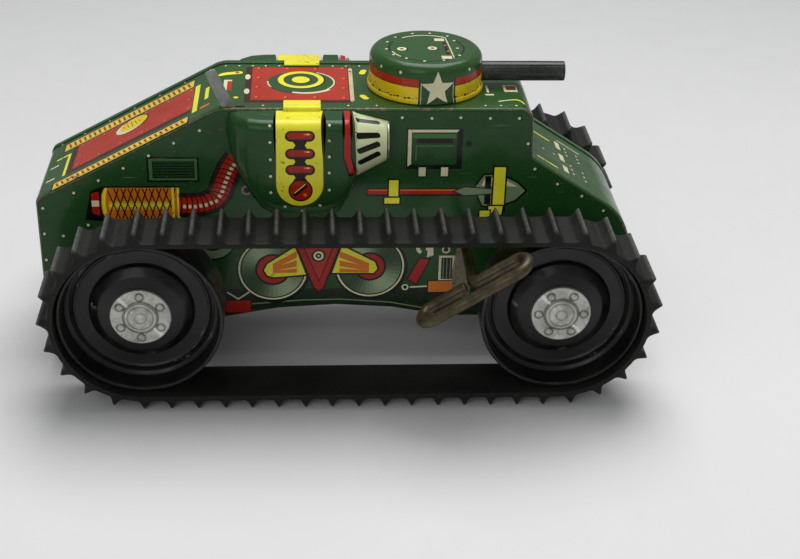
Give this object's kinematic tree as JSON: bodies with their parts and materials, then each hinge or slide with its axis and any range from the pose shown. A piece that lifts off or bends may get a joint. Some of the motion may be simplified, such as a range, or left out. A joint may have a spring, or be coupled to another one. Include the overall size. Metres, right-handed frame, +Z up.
{
  "type": "clockwork toy tank on rubber tracks",
  "caption": "Printed tinplate clockwork toy tank with rubber belt tracks on deep black wheels, a turning turret with a gun tube, a side winding key and a start lever.",
  "frame": {"origin": "centre of the whole object's footprint, on the ground under the tracks", "axes": "+X towards the gun, +Y to the tank's left, away from the winding key, +Z up"},
  "size_m": [0.2436, 0.1484, 0.1277],
  "materials": {
    "hull_green": "printed gloss green tinplate with pictures of fittings",
    "strap_yellow": "gloss yellow tinplate",
    "wheel_black": "gloss black",
    "gun_black": "satin black",
    "track_rubber": "matt grey-black",
    "cap_plate": "dulled bright plate",
    "plain_steel": "plain steel, slightly dulled",
    "spring_steel": "blued",
    "gear_brass": "bright",
    "key_brass": "aged brown"
  },
  "bodies": {
    "chassis": {"hull_top_sheet": "hull_green", "right_side_plate": "hull_green", "right_lock_tab": "strap_yellow", "right_rear_axle_bush": "plain_steel", "right_front_axle_bush": "plain_steel", "right_track": "track_rubber", "right_motor_plate": "plain_steel", "left_side_plate": "hull_green", "left_lock_tab": "strap_yellow", "left_rear_axle_bush": "plain_steel", "left_front_axle_bush": "plain_steel", "left_track": "track_rubber", "left_motor_plate": "plain_steel", "rear_cross_tie": "plain_steel", "front_cross_tie": "plain_steel", "lower_rear_motor_pillar": "plain_steel", "upper_rear_motor_pillar": "plain_steel", "upper_front_motor_pillar": "plain_steel", "lower_front_motor_pillar": "plain_steel", "mainspring": "spring_steel", "turret_eyelet": "plain_steel", "lever_bracket": "plain_steel"},
    "front_axle_set": {"front_axle": "plain_steel", "right_front_axle_spacer": "plain_steel", "right_front_wheel": "wheel_black", "right_front_wheel_back": "wheel_black", "right_front_hub_cap": "cap_plate", "left_front_axle_spacer": "plain_steel", "left_front_wheel": "wheel_black", "left_front_wheel_back": "wheel_black", "left_front_hub_cap": "cap_plate", "drive_pinion": "plain_steel"},
    "rear_axle_set": {"rear_axle": "plain_steel", "right_rear_axle_spacer": "plain_steel", "right_rear_wheel": "wheel_black", "right_rear_wheel_back": "wheel_black", "right_rear_hub_cap": "cap_plate", "left_rear_axle_spacer": "plain_steel", "left_rear_wheel": "wheel_black", "left_rear_wheel_back": "wheel_black", "left_rear_hub_cap": "cap_plate"},
    "winding_set": {"key_shaft": "key_brass", "key_wings": "key_brass", "winding_arbor": "plain_steel", "great_wheel": "gear_brass", "ratchet_wheel": "plain_steel", "ratchet_pawl": "plain_steel"},
    "second_set": {"second_arbor": "plain_steel", "second_pinion": "plain_steel", "second_wheel": "gear_brass"},
    "governor_set": {"governor_arbor": "plain_steel", "governor_pinion": "plain_steel", "governor_fly": "gear_brass"},
    "turret": {"turret_can": "hull_green", "turret_floor": "plain_steel", "gun_barrel": "gun_black"},
    "lever": {"start_stop_lever": "plain_steel"},
    "rod": {"brake_rod": "plain_steel"}
  },
  "joints": [
    {"name": "front_axle_spin", "type": "hinge", "parent": "chassis", "child": "front_axle_set", "pos_m": [0.08282, 0.00915, 0.03915], "axis": [0, 1, 0], "continuous": true},
    {"name": "rear_axle_spin", "type": "hinge", "parent": "chassis", "child": "rear_axle_set", "pos_m": [-0.08017, 0.00915, 0.03915], "axis": [0, 1, 0], "continuous": true},
    {"name": "winding_spin", "type": "hinge", "parent": "chassis", "child": "winding_set", "pos_m": [0.04612, 0.00915, 0.0595], "axis": [0, 1, 0], "continuous": true},
    {"name": "second_spin", "type": "hinge", "parent": "chassis", "child": "second_set", "pos_m": [0.07206, 0.00915, 0.05619], "axis": [0, 1, 0], "continuous": true},
    {"name": "governor_spin", "type": "hinge", "parent": "chassis", "child": "governor_set", "pos_m": [0.0687, 0.00915, 0.07524], "axis": [0, 1, 0], "continuous": true},
    {"name": "turret_turn", "type": "hinge", "parent": "chassis", "child": "turret", "pos_m": [0.03132, 0.00915, 0.1117], "axis": [0, 0, 1], "continuous": true},
    {"name": "lever_tilt", "type": "hinge", "parent": "chassis", "child": "lever", "pos_m": [-0.04068, -0.01485, 0.0996], "axis": [0, 1, 0], "range_deg": [0, 16]},
    {"name": "rod_slide", "type": "slide", "parent": "chassis", "child": "rod", "axis": [1, 0, 0], "range_m": [-0.004, 0]}
  ],
  "couplings": [
    {"joint": "rear_axle_spin", "follows": "front_axle_spin", "ratio": 1},
    {"joint": "second_spin", "follows": "front_axle_spin", "ratio": -0.31579},
    {"joint": "winding_spin", "follows": "front_axle_spin", "ratio": 0.078947},
    {"joint": "governor_spin", "follows": "front_axle_spin", "ratio": 1.2},
    {"joint": "rod_slide", "follows": "lever_tilt", "m_per_rad": -0.014}
  ]
}
